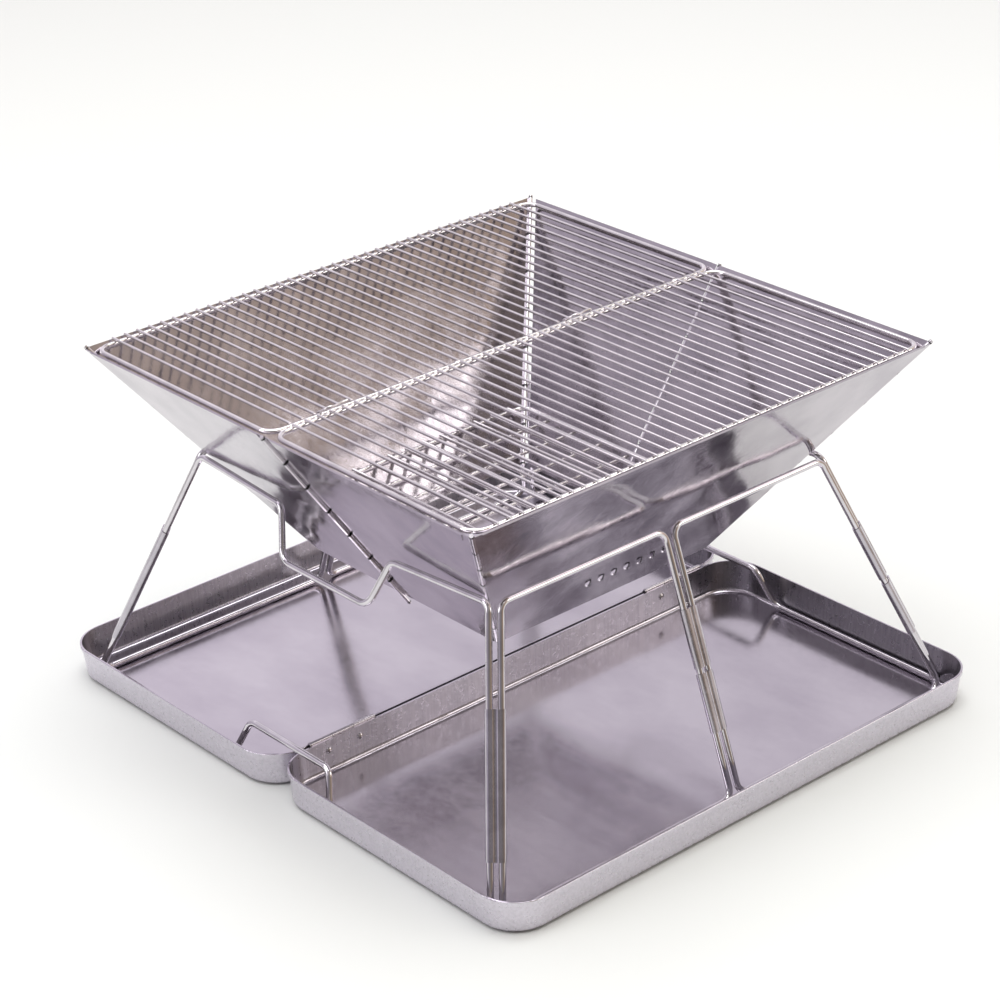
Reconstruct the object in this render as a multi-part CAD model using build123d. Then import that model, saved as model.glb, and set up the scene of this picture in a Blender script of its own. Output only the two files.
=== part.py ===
from build123d import *
import os
from math import atan, cos, hypot, tan

# Folding camp grill, set up for use. Origin at the centre of the open case's footprint, on the
# ground. +X runs along the case hinge, -Y is the front tray, +Y the back tray, +Z up. Millimetres.

# ---- driving dimensions -------------------------------------------------------------------
# Case: two pressed trays hinged rim to rim
case_half_length = 242.0      # half of the trays' long side at the rim
tray_outer_y = 268.0          # outer rim, from the case hinge line
tray_inner_y = 2.0            # hinge-side wall, from the case hinge line
tray_height = 28.0
tray_draft = 2.5              # how far the pressed walls lean out
tray_corner = 30.0
tray_sheet = 0.8
tray_foot_bend = 4.5          # outside radius where the walls meet the floor
hem_height = 3.2              # turned rim
hem_proud = 0.8
hem_round = 0.6
hem_leaf_room = 2.0           # the rim stops this far either side of a hinge leaf
case_hinge_x = 174.0          # centre of each case hinge
case_hinge_z = 28.6
case_hinge_knuckle = 20.0
case_hinge_gap = 0.3
case_knuckle_radius = 2.0
case_bore_radius = 1.3
case_pin_radius = 1.25
case_leaf_drop = 18.0
case_pin_head = 1.0
rivet_radius = 1.6
rivet_head = 3.2
rivet_head_sunk = 1.44        # of the head's sphere, behind the wall
rivet_spacing = 30.0
rivet_z = 19.0

# Stand: six wire frames whose legs all point at one apex above the grill
stand_apex_z = 681.0
stand_kx = 0.3467             # end frame plane: |x| = kx * (apex - z)
stand_ky = 0.359              # side frame plane: |y| = ky * (apex - z)
wire_radius = 2.6
stand_top_z = 199.0
stand_foot_z = 4.0
corner_wire_inset = 5.6       # each wire from its corner leg line, in its frame's plane
middle_wire_inset = 4.0
frame_bend = 9.0
dip_bend = 13.0
dip_top = (64.0, 193.5)       # end frame's top wire: y, z where it turns down
dip_bottom = (50.0, 157.0)
bridge_top = (47.0, 37.0)     # end frame's bottom wire steps over the two hinge walls
bridge_foot = 60.0
sleeve_wall = 0.7
sleeve_fit = 0.05
sleeve_groove = 3.0
long_sleeve = (0.335, 0.82)   # along the leg, 0 at the top wire and 1 at the foot
upper_sleeve = (0.29, 0.51)
lower_sleeve = (0.53, 0.75)

# Firebox: six sheet panels whose hinges all point at one apex below
fire_apex_z = -30.4
fire_kx = 0.703
fire_ky = 0.688
fire_top_z = 291.0
fire_bottom_z = 121.0
panel_sheet = 0.8
knuckle_radius = 1.75
bore_radius = 1.05
pin_radius = 1.0
pin_head_radius = 1.6
pin_head = 1.2
knuckle_gap = 0.9
knuckle_clear = 0.35          # between a knuckle and the notch it turns in
knuckle_end_room = 5.0        # and beyond the hinge's ends, for the pin heads
corner_knuckles = 7
middle_knuckles = 7
middle_overhang = 9.0         # the middle hinges run on below the panels
panel_hem = 10.0
panel_hem_sheet = 0.7
panel_hem_end = 7.0
open_corner = 5.0             # clearance of the right back panel's free edge
slot_length = 9.5
slot_width = 5.0
slot_pitch = 13.0
slot_first = -36.0
slot_height = 35.5
slot_count = 7
slot_lean = -24.0

# Cooking grates: two halves that fold about the middle line
grate_z = 288.6
grate_half_x = 220.0
grate_outer_y = 216.8
grate_inner_y = 2.3
grate_frame_radius = 2.0
grate_bend = 12.0
rod_radius = 1.1
rod_count = 37
rod_half_span = 202.0
rod_inner_end = 0.6           # rods run on past the frame wires' centres
rod_outer_end = 3.6
fold_axis_rise = 4.5
ring_radius = 8.35
ring_wire = 1.15
ring_x = (-182.0, 58.0, 181.0)

# Charcoal grate
charcoal_z = 160.0
charcoal_half = 126.0
charcoal_frame_radius = 2.0
charcoal_bend = 10.0
charcoal_spread = (0.86, 0.76)   # share of the frame's width the long and cross wires take up
long_wire_radius = 1.6
cross_wire_radius = 1.5
long_wire_count = 13
cross_wire_count = 7

through = 60.0                # reach of a cutter that goes right through

os.makedirs("parts", exist_ok=True)


def save(name, shape):
    """Write one node; a list becomes one compound of separate solids."""
    if isinstance(shape, (list, tuple)):
        shape = Compound(children=list(shape))
    export_step(shape, f"parts/{name}.step")


def rod_between(start, end, radius):
    """Straight round bar between two points."""
    start, end = Vector(*start), Vector(*end)
    axis = end - start
    bar = Cylinder(radius, axis.length, align=(Align.CENTER, Align.CENTER, Align.MIN))
    return Plane(origin=start, z_dir=axis).location * bar


def tube_between(start, end, outer, inner):
    """Straight tube between two points."""
    return rod_between(start, end, outer) - rod_between(start, end, inner)


def bent_loop(points, bend, radius):
    """Closed wire frame: straight runs joined by bends, swept with a round section."""
    path = FilletPolyline(*points, radius=bend, close=True)
    start = path ^ 0
    section = Plane(origin=start.position, z_dir=start.z_axis.direction) * Circle(radius)
    return sweep(section, path=path)


# ---- case ---------------------------------------------------------------------------------
hinge_length = 3 * case_hinge_knuckle + 2 * case_hinge_gap


def tray_outline(z, spread, inset):
    """Rounded rectangle of the front tray at height z. spread leans the three outer sides out."""
    half_x = case_half_length - tray_draft + spread - inset
    outer = tray_outer_y - tray_draft + spread - inset
    inner = tray_inner_y + inset
    centre = -(outer + inner) / 2
    outline = RectangleRounded(2 * half_x, outer - inner, tray_corner - inset)
    return Plane(origin=(0, centre, z)) * outline


def tray():
    """Front tray: pressed pan with draft on three sides and a turned rim."""
    skin = loft([tray_outline(0, 0, 0), tray_outline(tray_height, tray_draft, 0)])
    skin = fillet(skin.edges().group_by(Axis.Z)[0], tray_foot_bend)
    lean = tray_draft * tray_sheet / tray_height
    hollow = loft([
        tray_outline(tray_sheet, lean, tray_sheet),
        tray_outline(tray_height + 1, tray_draft + lean, tray_sheet),
    ])
    hollow = fillet(hollow.edges().group_by(Axis.Z)[0], tray_foot_bend - tray_sheet)
    hem_z = tray_height - hem_height
    hem_ring = tray_outline(hem_z, tray_draft, -hem_proud) - tray_outline(hem_z, tray_draft, tray_sheet / 2)
    hem = extrude(hem_ring, hem_height)
    room = hinge_length + 2 * hem_leaf_room
    leaf_room = Box(room, through, through, align=(Align.CENTER, Align.MIN, Align.CENTER))
    for centre in (-case_hinge_x, case_hinge_x):
        hem -= Pos(centre, -tray_inner_y, 0) * leaf_room
    top = [edge for edge in hem.edges().filter_by(Plane.XY).group_by(Axis.Z)[-1] if on_outer_rim(edge)]
    return skin - hollow + fillet(top, hem_round)


def on_outer_rim(edge):
    """True where an edge lies on the hem's outer face, away from the hinge wall."""
    point = edge @ 0.5
    if edge.length < hem_leaf_room or point.Y > -tray_inner_y - 1:
        return False
    half_x, half_y = case_half_length + hem_proud, (tray_outer_y - tray_inner_y) / 2 + hem_proud
    centre_y = -(tray_outer_y + tray_inner_y) / 2
    radius = tray_corner + hem_proud
    dx = abs(point.X) - (half_x - radius)
    dy = abs(point.Y - centre_y) - (half_y - radius)
    return abs(hypot(max(dx, 0), max(dy, 0)) - radius) < hem_proud / 4


def case_hinge_leaf(side, knuckles):
    """Both leaves of one tray: plates under the rim with rolled knuckles. side -1 front, 1 back."""
    leaves = []
    wall = case_knuckle_radius - case_bore_radius
    for centre in (-case_hinge_x, case_hinge_x):
        plate_y = side * (case_knuckle_radius - wall / 2)
        plate = Box(hinge_length, wall, case_leaf_drop)
        plate = Pos(centre, plate_y, case_hinge_z - case_leaf_drop / 2) * plate
        for index in range(3):
            start = centre - hinge_length / 2 + index * (case_hinge_knuckle + case_hinge_gap)
            if index in knuckles:
                plate += tube_between(
                    (start, 0, case_hinge_z), (start + case_hinge_knuckle, 0, case_hinge_z),
                    case_knuckle_radius, case_bore_radius)
            else:
                plate -= rod_between(
                    (start - case_hinge_gap, 0, case_hinge_z),
                    (start + case_hinge_knuckle + case_hinge_gap, 0, case_hinge_z),
                    case_knuckle_radius + case_hinge_gap)
        plate -= rod_between((centre - through, 0, case_hinge_z), (centre + through, 0, case_hinge_z),
                             case_bore_radius)
        for x in rivet_places(centre):
            plate -= rod_between((x, 0, rivet_z), (x, side * through, rivet_z), rivet_radius)
        leaves.append(plate)
    return leaves


def rivet_places(centre):
    """Where the two rivets of one case hinge stand."""
    return (centre - rivet_spacing / 2, centre + rivet_spacing / 2)


def rivets(side):
    """Domed rivets through the hinge wall and the leaf of one tray."""
    solids = []
    for centre in (-case_hinge_x, case_hinge_x):
        for x in rivet_places(centre):
            inner = side * (tray_inner_y + tray_sheet)
            shank = rod_between((x, side * 0.9, rivet_z), (x, inner, rivet_z), rivet_radius)
            outside = Box(through, through, through, align=(Align.CENTER, Align.CENTER, Align.MIN))
            dome = Pos(0, 0, -rivet_head_sunk) * Sphere(rivet_head) & outside
            head = Plane(origin=(x, inner, rivet_z), z_dir=(0, side, 0)).location * dome
            solids.append(shank + head)
    return solids


def case_pins():
    """Case hinge pins with peened heads."""
    reach = hinge_length / 2
    pins = []
    for centre in (-case_hinge_x, case_hinge_x):
        ends = [(centre + s * (reach + case_pin_head), 0, case_hinge_z) for s in (-1, 1)]
        pin = rod_between(ends[0], ends[1], case_pin_radius)
        for s in (-1, 1):
            pin += rod_between((centre + s * reach, 0, case_hinge_z),
                               (centre + s * (reach + case_pin_head), 0, case_hinge_z),
                               case_knuckle_radius - case_hinge_gap)
        pins.append(pin)
    return pins


def build_case():
    front = tray()
    for x in rivet_places(-case_hinge_x) + rivet_places(case_hinge_x):
        front -= rod_between((x, 0, rivet_z), (x, -through, rivet_z), rivet_radius)
    save("front_tray", front)
    save("back_tray", mirror(front, Plane.XZ))
    save("case_hinge_front_leaves", case_hinge_leaf(-1, (0, 2)))
    save("case_hinge_back_leaves", case_hinge_leaf(1, (1,)))
    save("case_hinge_pins", case_pins())
    save("front_rivets", rivets(-1))
    save("back_rivets", rivets(1))


# ---- folding stand ------------------------------------------------------------------------
def end_leg_y(z):
    """Height to |y| of an end frame's leg wire."""
    lean = atan(stand_ky / hypot(1, stand_kx))
    return stand_ky * (stand_apex_z - z) - corner_wire_inset / cos(lean)


def side_leg_x(z):
    """Height to |x| of a side frame's wire on the corner leg."""
    lean = atan(stand_kx / hypot(1, stand_ky))
    return stand_kx * (stand_apex_z - z) - corner_wire_inset / cos(lean)


def end_frame(side_x):
    """Long end frame with a dip in its top wire and a bridge in its bottom wire."""
    half = [
        (end_leg_y(stand_foot_z), stand_foot_z),
        (end_leg_y(stand_top_z), stand_top_z),
        dip_top,
        dip_bottom,
    ]
    bridge = [bridge_top, (bridge_foot, stand_foot_z)]
    profile = half + [(-y, z) for y, z in reversed(half)]
    profile += [(-y, z) for y, z in reversed(bridge)] + bridge
    points = [(side_x * stand_kx * (stand_apex_z - z), y, z) for y, z in profile]
    bends = [dip_bend if point == dip_bottom or point == (-dip_bottom[0], dip_bottom[1]) else frame_bend
             for point in profile]
    return bent_loop(points, bends, wire_radius)


def side_frame(side_x, side_y):
    """Short frame between a corner leg and the middle leg of a long side."""
    corners = [
        (side_leg_x(stand_foot_z), stand_foot_z),
        (side_leg_x(stand_top_z), stand_top_z),
        (middle_wire_inset, stand_top_z),
        (middle_wire_inset, stand_foot_z),
    ]
    points = [(side_x * x, side_y * stand_ky * (stand_apex_z - z), z) for x, z in corners]
    return bent_loop(points, frame_bend, wire_radius)


def end_wire(side_x, side_y, z):
    """Point on an end frame's leg wire."""
    return Vector(side_x * stand_kx * (stand_apex_z - z), side_y * end_leg_y(z), z)


def side_wire(side_x, side_y, z):
    """Point on a side frame's corner leg wire."""
    return Vector(side_x * side_leg_x(z), side_y * stand_ky * (stand_apex_z - z), z)


def middle_wire(side_x, side_y, z):
    """Point on a side frame's middle leg wire."""
    return Vector(side_x * middle_wire_inset, side_y * stand_ky * (stand_apex_z - z), z)


def along_leg(share):
    """Height at a share of the way from the top wire down to the foot."""
    return stand_top_z + share * (stand_foot_z - stand_top_z)


def sleeve(wire_a, wire_b, span):
    """Flattened tube round two leg wires, pinched between them."""
    z_top, z_low = along_leg(span[0]), along_leg(span[1])
    a_top, a_low = wire_a(z_top), wire_a(z_low)
    b_top = wire_b(z_top)
    axis = (a_low - a_top).normalized()
    across = b_top - a_top
    across -= axis * across.dot(axis)
    pitch = across.length
    plane = Plane(origin=a_top + across * 0.5, x_dir=across, z_dir=axis)
    length = (a_low - a_top).length
    outer = wire_radius + sleeve_fit + sleeve_wall
    section = SlotCenterToCenter(pitch, 2 * outer)
    bore = wire_radius + sleeve_fit
    for offset in (-pitch / 2, pitch / 2):
        section -= Pos(offset, 0) * Circle(bore)
    for side in (-1, 1):
        section -= Pos(0, side * (outer + sleeve_groove - sleeve_wall)) * Circle(sleeve_groove)
    return extrude(plane * section, length)


def single_sleeve(wire, span):
    """Short round tube round one leg wire."""
    z_top, z_low = along_leg(span[0]), along_leg(span[1])
    outer = wire_radius + sleeve_fit + sleeve_wall
    return tube_between(wire(z_top), wire(z_low), outer, wire_radius + sleeve_fit)


def build_stand():
    save("left_end_frame", end_frame(-1))
    save("right_end_frame", end_frame(1))
    save("front_left_frame", side_frame(-1, -1))
    save("front_right_frame", side_frame(1, -1))
    save("back_left_frame", side_frame(-1, 1))
    save("back_right_frame", side_frame(1, 1))
    for name, side_y in (("front", -1), ("back", 1)):
        save(f"{name}_left_sleeve", sleeve(
            lambda z: end_wire(-1, side_y, z), lambda z: side_wire(-1, side_y, z), long_sleeve))
        save(f"{name}_middle_sleeves", [sleeve(
            lambda z: middle_wire(-1, side_y, z), lambda z: middle_wire(1, side_y, z), span)
            for span in (upper_sleeve, lower_sleeve)])
    save("front_right_sleeves", [sleeve(
        lambda z: end_wire(1, -1, z), lambda z: side_wire(1, -1, z), span)
        for span in (upper_sleeve, lower_sleeve)])
    save("back_right_end_sleeve", single_sleeve(lambda z: end_wire(1, 1, z), upper_sleeve))
    save("back_right_side_sleeve", single_sleeve(lambda z: side_wire(1, 1, z), lower_sleeve))


# ---- firebox ------------------------------------------------------------------------------
sheet_offset = knuckle_radius - panel_sheet / 2
half_angle_long = atan(fire_kx / hypot(1, fire_ky))     # front and back panels
half_angle_end = atan(fire_ky / hypot(1, fire_kx))      # end panels, middle line to corner
slope_long = hypot(1, fire_ky)
slope_end = hypot(1, fire_kx)
fire_apex = Vector(0, 0, fire_apex_z)


def face_plane(face):
    """Plane through the apex: local y up the slope, z outward. face is front, back, left or right."""
    turned = {
        "front": ((1, 0, 0), (0, -1, -fire_ky)),
        "back": ((-1, 0, 0), (0, 1, -fire_ky)),
        "left": ((0, -1, 0), (-1, 0, -fire_kx)),
        "right": ((0, 1, 0), (1, 0, -fire_kx)),
    }
    x_dir, z_dir = turned[face]
    return Plane(origin=fire_apex, x_dir=x_dir, z_dir=z_dir)


def slope_of(face):
    return slope_long if face in ("front", "back") else slope_end


def hinge_ends(face, angle, lift, overhang=0.0):
    """Ends of a hinge axis lying in a face at an angle from its middle line."""
    slope = slope_of(face)
    plane = face_plane(face)
    ends = []
    for z in (fire_bottom_z, fire_top_z):
        s = (z - fire_apex_z) * slope
        ends.append(plane.from_local_coords(Vector(s * tan(angle), s, lift)))
    along = (ends[1] - ends[0]).normalized()
    return ends[0] - along * overhang, ends[1]


def knuckle_spans(ends, count):
    """Start and end points of each knuckle along a hinge axis."""
    start, end = ends
    whole = (end - start).length
    along = (end - start).normalized()
    pitch = whole / count
    spans = []
    for index in range(count):
        low = start + along * (index * pitch + knuckle_gap / 2)
        high = start + along * ((index + 1) * pitch - knuckle_gap / 2)
        spans.append((low, high))
    return spans


def add_hinge(panel, ends, count, own, full=False):
    """Roll this panel's knuckles onto its edge and notch it for the neighbour's."""
    along = (ends[1] - ends[0]).normalized()
    for tip, away in ((ends[0], -along), (ends[1], along)):
        panel -= rod_between(tip, tip + away * knuckle_end_room, knuckle_radius + knuckle_clear)
    for index, (low, high) in enumerate(knuckle_spans(ends, count)):
        if full or index % 2 == own:
            panel += rod_between(low, high, knuckle_radius)
        else:
            panel -= rod_between(low - along * knuckle_gap, high + along * knuckle_gap,
                                 knuckle_radius + knuckle_clear)
    return panel - rod_between(ends[0] - along * knuckle_end_room, ends[1] + along * knuckle_end_room,
                               bore_radius)


def sheet_between(face, low_angle, high_angle, trim_low=0.0, trim_high=0.0):
    """Flat trapezoid sheet of one face, with its turned-down top hem outside."""
    slope = slope_of(face)
    s_low = (fire_bottom_z - fire_apex_z) * slope
    s_high = (fire_top_z - fire_apex_z) * slope
    plane = face_plane(face)

    def corner(angle, s, trim):
        return (s * tan(angle) + trim / cos(angle), s)

    outline = [corner(low_angle, s_low, trim_low), corner(high_angle, s_low, -trim_high),
               corner(high_angle, s_high, -trim_high), corner(low_angle, s_high, trim_low)]
    inside = plane.offset(sheet_offset - panel_sheet / 2)
    sheet = extrude(inside * make_face(Polyline(*outline, close=True)), panel_sheet)
    hem_low = s_high - panel_hem
    hem_outline = [corner(low_angle, hem_low, panel_hem_end), corner(high_angle, hem_low, -panel_hem_end),
                   corner(high_angle, s_high, -panel_hem_end), corner(low_angle, s_high, panel_hem_end)]
    outside = plane.offset(sheet_offset + panel_sheet / 2)
    hem = extrude(outside * make_face(Polyline(*hem_outline, close=True)), panel_hem_sheet)
    return sheet + hem


def vent_slots():
    """Row of slanted air slots low on the front panel."""
    depth = 5 * panel_sheet
    plane = face_plane("front").offset(sheet_offset - depth / 2)
    s = (fire_bottom_z - fire_apex_z) * slope_long + slot_height
    cutters = []
    for index in range(slot_count):
        slot = SlotOverall(slot_length, slot_width)
        slot = Pos(slot_first + index * slot_pitch, s) * Rot(0, 0, 90 - slot_lean) * slot
        cutters.append(extrude(plane * slot, depth))
    return cutters


def pin(ends):
    """Hinge pin with a small head at each end."""
    along = (ends[1] - ends[0]).normalized()
    low, high = ends[0] - along * pin_head, ends[1] + along * pin_head
    body = rod_between(low, high, pin_radius)
    body += rod_between(low, ends[0], pin_head_radius)
    return body + rod_between(ends[1], high, pin_head_radius)


def build_firebox():
    corners = {
        "front_left": hinge_ends("front", -half_angle_long, 0.0),
        "front_right": hinge_ends("front", half_angle_long, 0.0),
        "back_right": hinge_ends("back", -half_angle_long, 0.0),
        "back_left": hinge_ends("back", half_angle_long, 0.0),
    }
    lift = 2 * sheet_offset
    middles = {side: hinge_ends(side, 0.0, lift, middle_overhang) for side in ("left", "right")}

    front = sheet_between("front", -half_angle_long, half_angle_long)
    front = add_hinge(front, corners["front_left"], corner_knuckles, 0)
    front = add_hinge(front, corners["front_right"], corner_knuckles, 0)
    for cutter in vent_slots():
        front -= cutter
    save("firebox_front_panel", front)

    back = sheet_between("back", -half_angle_long, half_angle_long)
    back = add_hinge(back, corners["back_left"], corner_knuckles, 0)
    back = add_hinge(back, corners["back_right"], corner_knuckles, 0, full=True)
    save("firebox_back_panel", back)

    left_front = sheet_between("left", 0.0, half_angle_end)
    left_front = add_hinge(left_front, corners["front_left"], corner_knuckles, 1)
    left_front = add_hinge(left_front, middles["left"], middle_knuckles, 0)
    save("firebox_left_front_panel", left_front)

    left_back = sheet_between("left", -half_angle_end, 0.0)
    left_back = add_hinge(left_back, corners["back_left"], corner_knuckles, 1)
    left_back = add_hinge(left_back, middles["left"], middle_knuckles, 1)
    save("firebox_left_back_panel", left_back)

    right_front = sheet_between("right", -half_angle_end, 0.0)
    right_front = add_hinge(right_front, corners["front_right"], corner_knuckles, 1)
    right_front = add_hinge(right_front, middles["right"], middle_knuckles, 0)
    save("firebox_right_front_panel", right_front)

    right_back = sheet_between("right", 0.0, half_angle_end, trim_high=open_corner)
    right_back = add_hinge(right_back, middles["right"], middle_knuckles, 1)
    save("firebox_right_back_panel", right_back)

    for name, ends in corners.items():
        save(f"pin_{name}", pin(ends))
    for name, ends in middles.items():
        save(f"pin_{name}_middle", pin(ends))


# ---- cooking grates -----------------------------------------------------------------------
def rod_places(count, half_span):
    """Evenly spaced positions from -half_span to half_span."""
    step = 2 * half_span / (count - 1)
    return [-half_span + index * step for index in range(count)]


def grate_half(side_y):
    """Frame and rods of one half grate."""
    inner, outer = side_y * grate_inner_y, side_y * grate_outer_y
    points = [(-grate_half_x, inner, grate_z), (grate_half_x, inner, grate_z),
              (grate_half_x, outer, grate_z), (-grate_half_x, outer, grate_z)]
    frame = bent_loop(points, grate_bend, grate_frame_radius)
    rod_z = grate_z + grate_frame_radius + rod_radius
    near, far = inner - side_y * rod_inner_end, outer + side_y * rod_outer_end
    rods = [rod_between((x, near, rod_z), (x, far, rod_z), rod_radius)
            for x in rod_places(rod_count, rod_half_span)]
    return frame, rods


def fold_rings():
    """Ring links on the back grate that go round the front grate's inner wire."""
    centre_z = grate_z + fold_axis_rise
    step = 2 * rod_half_span / (rod_count - 1)
    rings = []
    for x in ring_x:
        between = (round((x + rod_half_span) / step - 0.5) + 0.5) * step - rod_half_span
        ring = Torus(ring_radius, ring_wire)
        rings.append(Plane(origin=(between, 0, centre_z), z_dir=(1, 0, 0)).location * ring)
    return rings


def build_cooking_grates():
    for name, side_y in (("front", -1), ("back", 1)):
        frame, rods = grate_half(side_y)
        save(f"{name}_grate_frame", frame)
        save(f"{name}_grate_rods", rods)
    save("grate_fold_rings", fold_rings())


# ---- charcoal grate -----------------------------------------------------------------------
def build_charcoal_grate():
    half_y = charcoal_half * fire_ky / fire_kx
    points = [(-charcoal_half, -half_y, charcoal_z), (charcoal_half, -half_y, charcoal_z),
              (charcoal_half, half_y, charcoal_z), (-charcoal_half, half_y, charcoal_z)]
    save("charcoal_grate_frame", bent_loop(points, charcoal_bend, charcoal_frame_radius))
    under_z = charcoal_z - charcoal_frame_radius - cross_wire_radius
    cross = []
    for y in rod_places(cross_wire_count, half_y * charcoal_spread[1]):
        cross.append(rod_between((-charcoal_half, y, under_z), (charcoal_half, y, under_z),
                                 cross_wire_radius))
    save("charcoal_grate_cross_wires", cross)
    over_z = charcoal_z + charcoal_frame_radius + long_wire_radius
    long_wires = []
    for x in rod_places(long_wire_count, charcoal_half * charcoal_spread[0]):
        long_wires.append(rod_between((x, -half_y, over_z), (x, half_y, over_z), long_wire_radius))
    save("charcoal_grate_long_wires", long_wires)


build_case()
build_stand()
build_firebox()
build_cooking_grates()
build_charcoal_grate()
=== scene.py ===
import math

import bmesh
import bpy
from mathutils import Matrix, Vector


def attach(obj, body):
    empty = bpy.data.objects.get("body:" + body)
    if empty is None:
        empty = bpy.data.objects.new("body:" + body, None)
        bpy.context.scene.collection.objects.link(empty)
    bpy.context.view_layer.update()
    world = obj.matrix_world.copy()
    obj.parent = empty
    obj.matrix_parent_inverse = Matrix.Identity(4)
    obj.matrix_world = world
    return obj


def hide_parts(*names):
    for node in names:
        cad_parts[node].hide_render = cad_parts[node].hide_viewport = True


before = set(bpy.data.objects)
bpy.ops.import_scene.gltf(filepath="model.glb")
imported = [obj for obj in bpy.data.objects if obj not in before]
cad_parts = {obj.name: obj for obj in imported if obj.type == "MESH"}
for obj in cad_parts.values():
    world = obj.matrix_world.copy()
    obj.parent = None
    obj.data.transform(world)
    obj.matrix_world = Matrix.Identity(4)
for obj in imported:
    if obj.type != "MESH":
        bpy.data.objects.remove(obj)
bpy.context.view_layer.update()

# ---- Studio ---------------------------------------------------------------------------------
# A white paper floor in a light tent. Polished steel shows what is round it, so the tent differs
# by direction: pale lavender behind the grill, warm on its right, grey on its left and dark in
# front, with bright cloth overhead.


def linear(colour):
    """Linear RGBA of an sRGB hex colour."""
    channels = [int(colour[i:i + 2], 16) / 255 for i in (1, 3, 5)]
    return [c / 12.92 if c <= 0.04045 else ((c + 0.055) / 1.055) ** 2.4 for c in channels] + [1.0]


def add(tree, kind, inputs=(), out=None, stops=(), **settings):
    """Adds a shader node and returns one of its outputs: the one named out, or the first in use.

    Inputs are values or the outputs that feed them, by name or in the order of the node's inputs
    in use. Stops are a colour ramp's (place, hex colour) pairs.
    """
    made = tree.nodes.new("ShaderNode" + kind)
    for name, value in settings.items():
        setattr(made, name, value)
    if stops:
        marks = made.color_ramp.elements
        while len(marks) < len(stops):
            marks.new(0.5)
        for mark, (place, colour) in zip(marks, stops):
            mark.position = place
            mark.color = linear(colour)
    fed = [socket for socket in made.inputs if socket.enabled]
    if isinstance(inputs, dict):
        fed = [made.inputs[name] for name in inputs]
        inputs = inputs.values()
    for socket, value in zip(fed, inputs):
        if isinstance(value, bpy.types.NodeSocket):
            tree.links.new(value, socket)
        else:
            socket.default_value = value
    return made.outputs[out] if out else next((o for o in made.outputs if o.enabled), None)


def material(name, **surface):
    """A new material, its node tree and its surface shader."""
    made = bpy.data.materials.new(name)
    made.use_nodes = True
    shader = made.node_tree.nodes["Principled BSDF"]
    for socket, value in surface.items():
        shader.inputs[socket.replace("_", " ")].default_value = value
    return made, made.node_tree, shader


# Matt white paper.
paper, _, _ = material("white_paper", Base_Color=linear("#D9DBD8"), Roughness=0.9)
floor_reach = 9.0
floor_drop = 0.0004          # under the grill's feet, so that the two don't share a plane
floor_mesh = bpy.data.meshes.new("floor")
floor_corners = [(x * floor_reach, y * floor_reach, 0) for x, y in ((-1, -1), (1, -1), (1, 1), (-1, 1))]
floor_mesh.from_pydata(floor_corners, [], [(0, 1, 2, 3)])
floor_mesh.materials.append(paper)
floor = bpy.data.objects.new("floor", floor_mesh)
floor.location.z = -floor_drop
bpy.context.scene.collection.objects.link(floor)


def bearings(*stops):
    """Ramp stops from (degrees clockwise from +Y, hex colour) pairs."""
    return [((degrees + 180) / 360, colour) for degrees, colour in stops]


# The tent has low walls all round, higher ones above them with a dark gap between two cloths on
# the right, and a white roof. The gap shows as a dark line in the polished sheet.
tent = bpy.data.worlds.new("light_tent")
tent.use_nodes = True
bpy.context.scene.world = tent
tree = tent.node_tree
tree.nodes.clear()
view = add(tree, "TexCoord", out="Generated")
axes = add(tree, "SeparateXYZ", [view]).node.outputs
bearing = add(tree, "Math", [axes["X"], axes["Y"]], operation="ARCTAN2")
round_place = add(tree, "MapRange", [bearing, -math.pi, math.pi])
low_walls = add(tree, "ValToRGB", [round_place], stops=bearings(
    (-180, "#84796E"), (-140, "#7A7674"), (-95, "#85808A"), (-72, "#C8C2CC"), (-60, "#88838C"),
    (-49, "#9A949E"), (-41, "#CFC9D3"), (-33, "#B0AAB4"), (5, "#D6CFDA"), (30, "#F2ECF5"),
    (52, "#F6F1F8"), (85, "#D5CCD0"), (118, "#C9B9A8"), (133, "#B7A48E"), (141, "#D6C6B4"),
    (150, "#A8957F"), (180, "#84796E")))
high_walls = add(tree, "ValToRGB", [round_place], stops=bearings(
    (-180, "#8A847E"), (-60, "#C9C4CC"), (20, "#E6E0E9"), (60, "#A39DA6"), (73.2, "#8C8690"),
    (74.2, "#2C2B30"), (75.0, "#3A3840"), (75.6, "#FFFFFF"), (100, "#FFFFFF"), (125, "#C9BCAE"),
    (180, "#8A847E")))
above_low = add(tree, "MapRange", [axes["Z"], 0.52, 0.62])
walls = add(tree, "Mix", [above_low, low_walls, high_walls], data_type="RGBA")
overhead = add(tree, "MapRange", [axes["Z"], 0.84, 0.93])
cloth = add(tree, "Mix", [overhead, walls, linear("#FFFFFF")], data_type="RGBA")
patches = add(tree, "TexNoise", {"Vector": view, "Scale": 2.2, "Detail": 2.0})
shade = add(tree, "MapRange", [patches, 0.35, 0.65, 1.0, 1.35])
add(tree, "OutputWorld", [add(tree, "Background", [cloth, shade])])


def softbox(name, place, aim, size, power):
    """A square area light at place, turned to aim."""
    lamp = bpy.data.lights.new(name, "AREA")
    lamp.size = size
    lamp.energy = power
    made = bpy.data.objects.new(name, lamp)
    made.location = place
    made.rotation_euler = (Vector(aim) - Vector(place)).to_track_quat("-Z", "Y").to_euler()
    bpy.context.scene.collection.objects.link(made)


softbox("overhead", (0.1, 0.1, 3.2), (0, 0, 0), 3.4, 105)
softbox("left_side", (-2.6, 0.9, 1.5), (0, 0, 0.15), 1.3, 16)
softbox("right_side", (1.9, -2.3, 1.4), (0, 0, 0.2), 1.1, 12)

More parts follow.
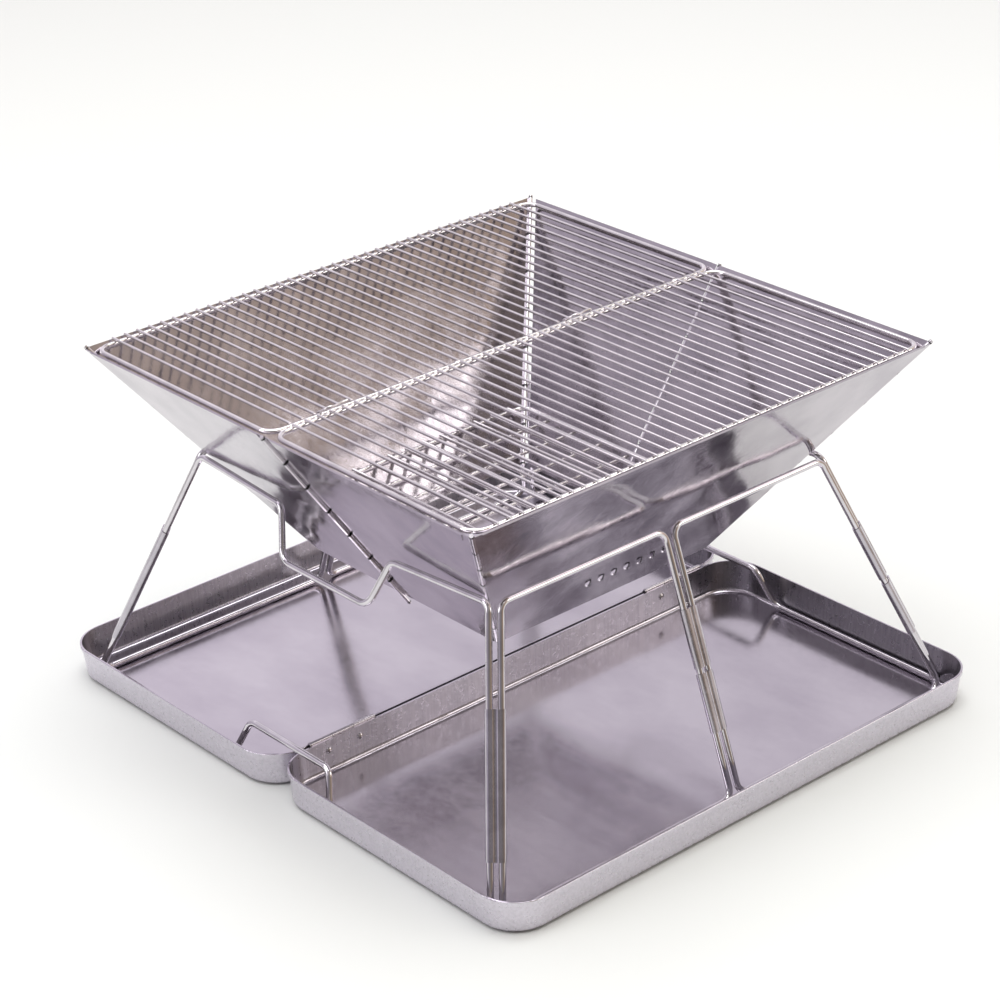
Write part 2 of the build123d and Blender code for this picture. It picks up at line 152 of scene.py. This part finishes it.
# The camera looks from the front left, a little down. Standard keeps the paper white.
azimuth, elevation, roll = (math.radians(a) for a in (40.78, 26.20, -1.81))
target = Vector((-0.0286, -0.0220, 0.1791))
distance = 2.198
field_of_view = math.radians(19.456)
forward = Vector((math.sin(azimuth) * math.cos(elevation), math.cos(azimuth) * math.cos(elevation),
                  -math.sin(elevation)))
level = Vector((math.cos(azimuth), -math.sin(azimuth), 0))
upright = level.cross(forward)
right = level * math.cos(roll) + upright * math.sin(roll)
up = upright * math.cos(roll) - level * math.sin(roll)
camera_data = bpy.data.cameras.new("camera")
camera_data.angle = field_of_view
camera = bpy.data.objects.new("camera", camera_data)
camera.matrix_world = (Matrix.Translation(target - forward * distance)
                       @ Matrix((right, up, -forward)).transposed().to_4x4())
bpy.context.scene.collection.objects.link(camera)
bpy.context.scene.camera = camera
bpy.context.scene.view_settings.view_transform = "Standard"

# ---- Case -----------------------------------------------------------------------------------
# Two shallow trays pressed from 0.8 mm stainless sheet, their rims turned over. They are hinged
# along one long side and close into the carrying case.


def finish(steel, *names):
    """Gives named CAD nodes a finish."""
    for name in names:
        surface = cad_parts[name].data.materials
        surface.clear()
        surface.append(steel)


def marks(tree, place, across, detail=3.0, stretch=(1, 1, 1), turn=(0, 0, 0)):
    """Uneven marks in the steel, across mm wide, stretched along axes and turned."""
    mapped = add(tree, "Mapping", {"Vector": place, "Scale": [1000 / across * s for s in stretch],
                                   "Rotation": turn})
    return add(tree, "TexNoise", {"Vector": mapped, "Scale": 1.0, "Detail": detail})


def sum_of(tree, *parts):
    """Adds up (marks, weight) pairs."""
    total = 0.0
    for part, weight in parts:
        total = add(tree, "Math", [part, weight, total], operation="MULTIPLY_ADD")
    return total


# Pressed stainless steel. The floors keep the mill's bright finish under a haze of wipe marks, and
# the walls are duller, with upright draw lines from the press. The inner walls are coloured darker
# than the outer ones of the same sheet, as painted shade. The real wipe marks, draw lines and grain
# are under 0.5 mm across, and are drawn 2 to 3 mm across so that they show.
tray_steel, tree, shader = material("pressed_stainless", Metallic=1.0)
place = add(tree, "TexCoord", out="Object")
outline = add(tree, "TexCoord", out="Normal")
facing = add(tree, "SeparateXYZ", [outline], out="Z")
steepness = add(tree, "Math", [facing], operation="ABSOLUTE")
on_wall = add(tree, "MapRange", [steepness, 0.75, 0.35])
tray_centre = 0.135          # from the case hinge to the middle of a tray
tray_side = add(tree, "Math", [add(tree, "SeparateXYZ", [place], out="Y")], operation="SIGN")
middle_y = add(tree, "Math", [tray_side, tray_centre], operation="MULTIPLY")
tray_middle = add(tree, "CombineXYZ", {"Y": middle_y})
from_middle = add(tree, "VectorMath", [place, tray_middle], operation="SUBTRACT")
outward = add(tree, "VectorMath", [from_middle, outline], operation="DOT_PRODUCT")
on_outside = add(tree, "MapRange", [outward, -0.02, 0.02])
smears = marks(tree, place, 70.0, 4.0, (1.0, 0.55, 1.0), (0, 0, 0.5))
haze = marks(tree, place, 6.0, 5.0)
wipes = marks(tree, place, 3.0, 4.0, (1.0, 0.12, 1.0), (0, 0, 0.35))
draw_lines = marks(tree, place, 1.8, 3.0, (1.0, 1.0, 0.03))
mottle = marks(tree, place, 2.2, 3.0)
floor_marks = sum_of(tree, (smears, 0.22), (haze, 0.10), (wipes, 0.06))
wall_marks = sum_of(tree, (draw_lines, 0.12), (mottle, 0.22), (haze, 0.10))
rough_floor = add(tree, "MapRange", [floor_marks, 0.12, 0.26, 0.09, 0.24])
rough_wall = add(tree, "MapRange", [wall_marks, 0.12, 0.32, 0.20, 0.42])
tree.links.new(add(tree, "Mix", [on_wall, rough_floor, rough_wall]), shader.inputs["Roughness"])
floor_tint = add(tree, "ValToRGB", [smears], stops=[(0.35, "#B8B2BB"), (0.65, "#CBC6CD")])
# The inner walls' darker colour is painted shade: the same sheet as the lighter outer walls.
shaded_inner_wall_tint = add(tree, "ValToRGB", [draw_lines], stops=[(0.35, "#8F8C92"), (0.65, "#9E9AA0")])
outer_tint = add(tree, "ValToRGB", [mottle], stops=[(0.35, "#CBC6CF"), (0.65, "#D7D2DB")])
wall_tint_with_shade = add(tree, "Mix", [on_outside, shaded_inner_wall_tint, outer_tint], data_type="RGBA")
tray_tint_with_shade = add(tree, "Mix", [on_wall, floor_tint, wall_tint_with_shade], data_type="RGBA")
tree.links.new(tray_tint_with_shade, shader.inputs["Base Color"])
dents = marks(tree, place, 120.0, 1.0)
relief = sum_of(tree, (dents, 1.0), (mottle, 0.02), (draw_lines, 0.004))
tree.links.new(add(tree, "Bump", {"Height": relief, "Strength": 0.5, "Distance": 0.0012}),
               shader.inputs["Normal"])
finish(tray_steel, "front_tray", "back_tray")

# ---- Case hinges ----------------------------------------------------------------------------
# Two stainless strip hinges with rolled knuckles on a 2.5 mm pin, each riveted through the trays'
# inner walls with two domed rivets. The strip is satin, and is coloured a little darker than the
# trays as painted shade round the barrels; the rivets are bright from the set.


def plain_steel(name, colour, roughness, spread, grain, relief_mm):
    """Stainless steel whose grain, in mm, shows in its roughness and relief, under broad clouds.

    The real grain is a few hundredths of a millimetre, and is drawn as coarse as it needs to show.
    """
    made, tree, shader = material(name, Metallic=1.0)
    place = add(tree, "TexCoord", out="Object")
    fine = marks(tree, place, grain, 4.0)
    broad = marks(tree, place, 18.0, 2.0)
    mixed = sum_of(tree, (fine, 0.5), (broad, 0.5))
    rough = add(tree, "MapRange", [mixed, 0.35, 0.65, roughness - spread, roughness + spread])
    tree.links.new(rough, shader.inputs["Roughness"])
    clouded = add(tree, "MapRange", [broad, 0.35, 0.65])
    bright = linear(colour)
    dull = [c * 0.86 for c in bright]
    tree.links.new(add(tree, "Mix", [clouded, dull, bright], data_type="RGBA"),
                   shader.inputs["Base Color"])
    tree.links.new(add(tree, "Bump", {"Height": fine, "Strength": 0.2, "Distance": relief_mm / 1000}),
                   shader.inputs["Normal"])
    return made


# The strip's darker colour is painted shade round the hinge barrels.
shaded_hinge_steel = plain_steel("rolled_hinge_strip_shaded", "#B9B4BA", 0.24, 0.06, 1.2, 0.05)
rivet_steel = plain_steel("set_rivets", "#DAD6DA", 0.12, 0.03, 2.0, 0.02)
finish(shaded_hinge_steel, "case_hinge_front_leaves", "case_hinge_back_leaves", "case_hinge_pins")
finish(rivet_steel, "front_rivets", "back_rivets")

# ---- Folding stand --------------------------------------------------------------------------
# Six closed frames bent from 5.2 mm stainless wire, electropolished, so they mirror the room in
# long bright and dark lines. Short tubes pressed round pairs of legs let the frames fold flat.
# The tubes are drawn and duller than the wire.
wire_steel = plain_steel("polished_wire", "#D9D5DA", 0.09, 0.03, 4.0, 0.02)
sleeve_steel = plain_steel("drawn_tube", "#C4BFC7", 0.19, 0.05, 3.0, 0.03)
finish(wire_steel, "left_end_frame", "right_end_frame", "front_left_frame", "front_right_frame",
       "back_left_frame", "back_right_frame")
finish(sleeve_steel, "front_left_sleeve", "back_left_sleeve", "front_middle_sleeves",
       "back_middle_sleeves", "front_right_sleeves", "back_right_end_sleeve",
       "back_right_side_sleeve")

# ---- Firebox --------------------------------------------------------------------------------
# Six panels cut from 0.8 mm bright-rolled stainless sheet, hinged with 2 mm pins in knuckles
# rolled on their edges. All the hinges point at one apex below the box, so it folds flat. The
# front panel has a row of slots, one long lip of each pressed outwards as a hood.
slope_ends, slope_sides = 0.703, 0.688      # how far the walls lean out for each unit of height
apex_z = -0.0304
fire_apex = Vector((0, 0, apex_z))

# Bright-rolled sheet is close to a mirror and a little wavy, with faint rolling lines up each
# panel. The lines and specks are drawn 2 to 3 mm across, ten times the real ones, to show.
panel_steel, tree, shader = material("bright_rolled_sheet", Metallic=1.0)
place = add(tree, "TexCoord", out="Object")
rolling = marks(tree, place, 3.0, 3.0, (1.0, 1.0, 0.02))
cloud = marks(tree, place, 35.0, 4.0)
speck = marks(tree, place, 2.4, 3.0)
panel_marks = sum_of(tree, (rolling, 0.4), (cloud, 0.4), (speck, 0.2))
tree.links.new(add(tree, "MapRange", [panel_marks, 0.4, 0.6, 0.06, 0.17]), shader.inputs["Roughness"])
quarter = add(tree, "VectorMath", [place], operation="ABSOLUTE")
knuckle_radius = 0.0021      # a little over the real one, so that the whole barrel is inside it
knuckle_fade = 0.0002        # past it
middle_lift = 0.0027         # of the middle hinges' axes, out from their panels' plane
# The slits between knuckles are painted dark, as shade.
slit_half = 0.0008           # a gap between knuckles, drawn wider than it is so that it shows


def knuckles(start, heading, first, pitch):
    """How far a point is on a hinge's knuckles, painted as a highlight, and in a slit between two,
    painted dark as shade: both 0 to 1.
    """
    heading = heading.normalized()
    off = add(tree, "VectorMath", [quarter, start], operation="SUBTRACT")
    side = add(tree, "VectorMath", [off, heading], operation="CROSS_PRODUCT")
    radius = add(tree, "VectorMath", [side], operation="LENGTH")
    barrel = add(tree, "MapRange", [radius, knuckle_radius + knuckle_fade, knuckle_radius])
    along = add(tree, "VectorMath", [off, heading], operation="DOT_PRODUCT")
    turns = add(tree, "Math", [along, 1 / pitch, -first / pitch], operation="MULTIPLY_ADD")
    past_slit = add(tree, "Math", [turns, 1.0, 0.0], operation="WRAP")
    before_slit = add(tree, "Math", [1.0, past_slit], operation="SUBTRACT")
    to_slit = add(tree, "Math", [past_slit, before_slit], operation="MINIMUM")
    slit_shade = add(tree, "MapRange", [to_slit, 2 * slit_half / pitch, slit_half / pitch])
    return barrel, slit_shade


middle_out = Vector((1, 0, -slope_ends)).normalized() * middle_lift
middle_hinge = knuckles(fire_apex + middle_out, Vector((slope_ends, 0, 1)),
                        first=0.17607, pitch=0.03097)
corner_hinge = knuckles(fire_apex, Vector((slope_ends, slope_sides, 1)), first=0.2124, pitch=0.03407)
# Over the sheet's own tone, the knuckles' pale colour is a painted highlight and the slits' dark colour
# is painted shade.
panel_tint_and_knuckle_light = add(tree, "ValToRGB", [cloud], stops=[(0.35, "#A9A3AB"), (0.65, "#BCB6BD")])
for barrel, slit_shade in (middle_hinge, corner_hinge):
    knuckle_highlight_and_slit_shade = add(tree, "Mix", [slit_shade, linear("#E4E0E5"), linear("#2A282B")], data_type="RGBA")
    panel_tint_and_knuckle_light = add(tree, "Mix", [barrel, panel_tint_and_knuckle_light, knuckle_highlight_and_slit_shade], data_type="RGBA")
tree.links.new(panel_tint_and_knuckle_light, shader.inputs["Base Color"])
waves = marks(tree, place, 60.0, 1.0)
relief = sum_of(tree, (waves, 1.0), (rolling, 0.02), (speck, 0.006))
tree.links.new(add(tree, "Bump", {"Height": relief, "Strength": 0.6, "Distance": 0.0016}),
               shader.inputs["Normal"])
finish(panel_steel, "firebox_front_panel", "firebox_back_panel", "firebox_left_front_panel",
       "firebox_left_back_panel", "firebox_right_front_panel", "firebox_right_back_panel")

# The pins are drawn stainless wire, cut off square, and a little duller than the sheet.
pin_steel = plain_steel("hinge_pin", "#CFCACF", 0.16, 0.04, 2.0, 0.02)
finish(pin_steel, "pin_front_left", "pin_front_right", "pin_back_left", "pin_back_right",
       "pin_left_middle", "pin_right_middle")


def new_piece(name, mesh_maker, surface, body):
    """A mesh piece built by mesh_maker(bmesh), riding on a body."""
    work = bmesh.new()
    mesh_maker(work)
    mesh = bpy.data.meshes.new(name)
    work.to_mesh(mesh)
    work.free()
    for face in mesh.polygons:
        face.use_smooth = True
    mesh.materials.append(surface)
    made = bpy.data.objects.new(name, mesh)
    bpy.context.scene.collection.objects.link(made)
    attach(made, body)
    return made


panel_foot = 0.121
vent_above_foot = 0.0355     # up the panel's slope
vent_row = (panel_foot - apex_z) * math.hypot(1, slope_sides) + vent_above_foot
vent_pitch, vent_first, vent_count = 0.013, -0.036, 7
vent_length, vent_width = 0.0095, 0.0050
vent_lean = 24
vent_turn = math.radians(90 + vent_lean)
panel_out = Vector((0, -1, -slope_sides)).normalized()
uphill = Vector((0, -slope_sides, 1)).normalized()
sheet_face = 0.00175         # from the hinges' plane to the panel's outer face
hood_sunk = 0.0002           # into the sheet, so that no light shows under it
hood_out = 0.0021
hood_half_length = 0.56      # a share of a slot's length
hood_foot, hood_lip = -0.62, 0.10           # across a slot, as shares of its width
hood_sheet = 0.0005
steps_along, steps_across = 12, 4


def vent_hoods(work):
    """A quarter-round hood over half of each slot."""
    along = Vector((1, 0, 0)) * math.cos(vent_turn) + uphill * math.sin(vent_turn)
    across = Vector((1, 0, 0)) * -math.sin(vent_turn) + uphill * math.cos(vent_turn)
    for index in range(vent_count):
        centre = Vector((vent_first + index * vent_pitch, 0, apex_z)) + uphill * vent_row
        centre += panel_out * (sheet_face - hood_sunk)
        rows = []
        for i in range(steps_along + 1):
            u = -1 + 2 * i / steps_along
            bow = math.sqrt(max(0.0, 1 - u * u))
            row = []
            for j in range(steps_across + 1):
                v = j / steps_across
                side = hood_foot + (hood_lip - hood_foot) * v * bow
                lift = hood_out * bow * math.sin(v * math.pi / 2)
                row.append(work.verts.new(centre + along * (u * vent_length * hood_half_length)
                                          + across * (side * vent_width) + panel_out * lift))
            rows.append(row)
        for row, following in zip(rows, rows[1:]):
            for j in range(steps_across):
                work.faces.new((row[j], following[j], following[j + 1], row[j + 1]))


# The lips are stretched in the press, which dulls them, and they stand over dark slots; their dark
# colour is painted shade of the slots.
lip_steel_painted_shade = plain_steel("pressed_lip_painted_shade", "#6A666C", 0.26, 0.05, 2.0, 0.03)
hoods = new_piece("vent_hoods", vent_hoods, lip_steel_painted_shade, "firebox_front")
thicken = hoods.modifiers.new("sheet", "SOLIDIFY")
thicken.thickness = hood_sheet
thicken.offset = 0.0

# ---- Charcoal grate -------------------------------------------------------------------------
# A welded grid of stainless wire that drops into the firebox and rests on its sloping walls.
# The wire is polished like the stand's.
grate_steel = plain_steel("polished_rod", "#E6E2E3", 0.10, 0.03, 4.0, 0.02)
finish(grate_steel, "charcoal_grate_frame", "charcoal_grate_cross_wires", "charcoal_grate_long_wires")

# ---- Cooking grates -------------------------------------------------------------------------
# Two half grates of 2.2 mm rods spot welded across 4 mm frames. Wire clips wound on the back
# half's inner wire pass over the front half's, and the two fold together on them. Short tubes
# are crimped over the inner wire's joints.
finish(grate_steel, "front_grate_frame", "back_grate_frame", "front_grate_rods", "back_grate_rods")

inner_wire_y, inner_wire_z = 0.0023, 0.2886
clip_radius = 0.00095
clip_starts = (-0.1755, 0.0630)
# A clip in mm from its start: a turn round the back half's inner wire, then over the front half's,
# and along between the two.
clip_turn = [(0.0, 0.0, -3.1), (0.6, 2.9, -1.0), (1.2, 2.6, 1.7), (1.8, 0.2, 3.1), (2.6, -2.6, 4.8),
             (4.2, -5.2, 7.0), (6.6, -6.6, 7.4), (9.5, -6.4, 6.4), (13.0, -4.6, 6.0), (18.0, -3.2, 5.9),
             (24.0, -2.9, 5.8)]
for number, start_x in enumerate(clip_starts):
    path = bpy.data.curves.new(f"grate_clip_{number + 1}", "CURVE")
    path.dimensions = "3D"
    path.bevel_depth = clip_radius
    path.bevel_resolution = 4
    path.use_fill_caps = True
    line = path.splines.new("NURBS")
    line.points.add(len(clip_turn) - 1)
    for point, (x, y, z) in zip(line.points, clip_turn):
        point.co = (start_x + x / 1000, inner_wire_y + y / 1000, inner_wire_z + z / 1000, 1.0)
    line.order_u = 3
    line.use_endpoint_u = True
    path.materials.append(grate_steel)
    clip = bpy.data.objects.new(f"grate_clip_{number + 1}", path)
    bpy.context.scene.collection.objects.link(clip)
    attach(clip, "back_grate")
    if number == 0:
        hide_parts("grate_fold_rings")

joint_places = (-0.0435, 0.1815)
joint_length, joint_radius = 0.0070, 0.0027
joint_outline = ((-0.5, 0.84), (-0.42, 1.0), (0.42, 1.0), (0.5, 0.84))    # (share along, of radius)
joint_sides = 24


def wire_joints(work):
    """Short tubes, their ends crimped in, over the joints of the back half's inner wire."""
    for centre in joint_places:
        rings = []
        for share, of_radius in joint_outline:
            rings.append([work.verts.new((
                centre + share * joint_length,
                inner_wire_y + joint_radius * of_radius * math.cos(math.tau * k / joint_sides),
                inner_wire_z + joint_radius * of_radius * math.sin(math.tau * k / joint_sides)))
                for k in range(joint_sides)])
        for ring, following in zip(rings, rings[1:]):
            for k in range(joint_sides):
                after = (k + 1) % joint_sides
                work.faces.new((ring[k], ring[after], following[after], following[k]))
        work.faces.new(rings[0][::-1])
        work.faces.new(rings[-1])


new_piece("wire_joints", wire_joints, grate_steel, "back_grate")
